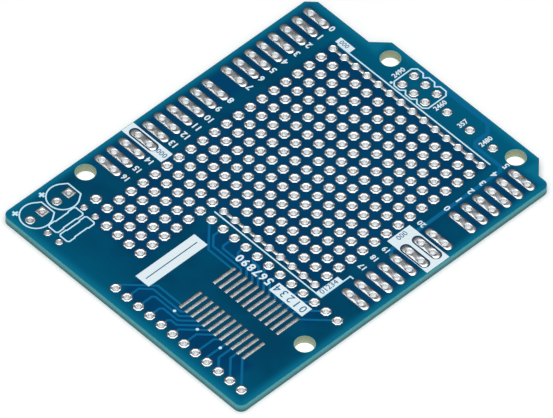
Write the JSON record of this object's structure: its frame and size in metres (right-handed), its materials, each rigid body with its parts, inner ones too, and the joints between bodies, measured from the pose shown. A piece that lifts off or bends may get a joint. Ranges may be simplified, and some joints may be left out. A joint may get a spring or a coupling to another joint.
{
  "type": "prototyping circuit board",
  "caption": "Bare blue prototyping circuit board with a field of plated holes, header slots, surface-mount lands, bus rows and four mounting holes.",
  "frame": {"origin": "centre of the underside, on the surface that the board lies on", "axes": "+X along the long side towards the stepped end with the programming contacts, +Y towards the digital header, +Z out of the printed face"},
  "size_m": [0.0686, 0.0534, 0.0017],
  "materials": {
    "laminate": "routed glass-fibre epoxy laminate",
    "solder_mask": "glossy blue solder mask",
    "tinned_copper": "hot-air levelled tin over copper",
    "covered_copper": "etched copper seen through blue solder mask",
    "legend_ink": "white screen-printed epoxy ink"
  },
  "bodies": {
    "root": {"laminate": "laminate", "bottom_solder_mask": "solder_mask", "top_solder_mask": "solder_mask", "field_contacts": "tinned_copper", "ground_bus": "tinned_copper", "reference_bus": "tinned_copper", "digital_header_contacts": "tinned_copper", "power_header_contacts": "tinned_copper", "analog_header_contacts": "tinned_copper", "programming_contacts": "tinned_copper", "signal_contacts": "tinned_copper", "outer_breakout_contacts": "tinned_copper", "inner_breakout_contacts": "tinned_copper", "outer_surface_lands": "tinned_copper", "inner_surface_lands": "tinned_copper", "lamp_contacts": "tinned_copper", "resistor_contacts": "tinned_copper", "breakout_tracks": "covered_copper", "supply_track": "covered_copper", "legend_outlines": "legend_ink", "legend_fields": "legend_ink"}
  },
  "joints": []
}
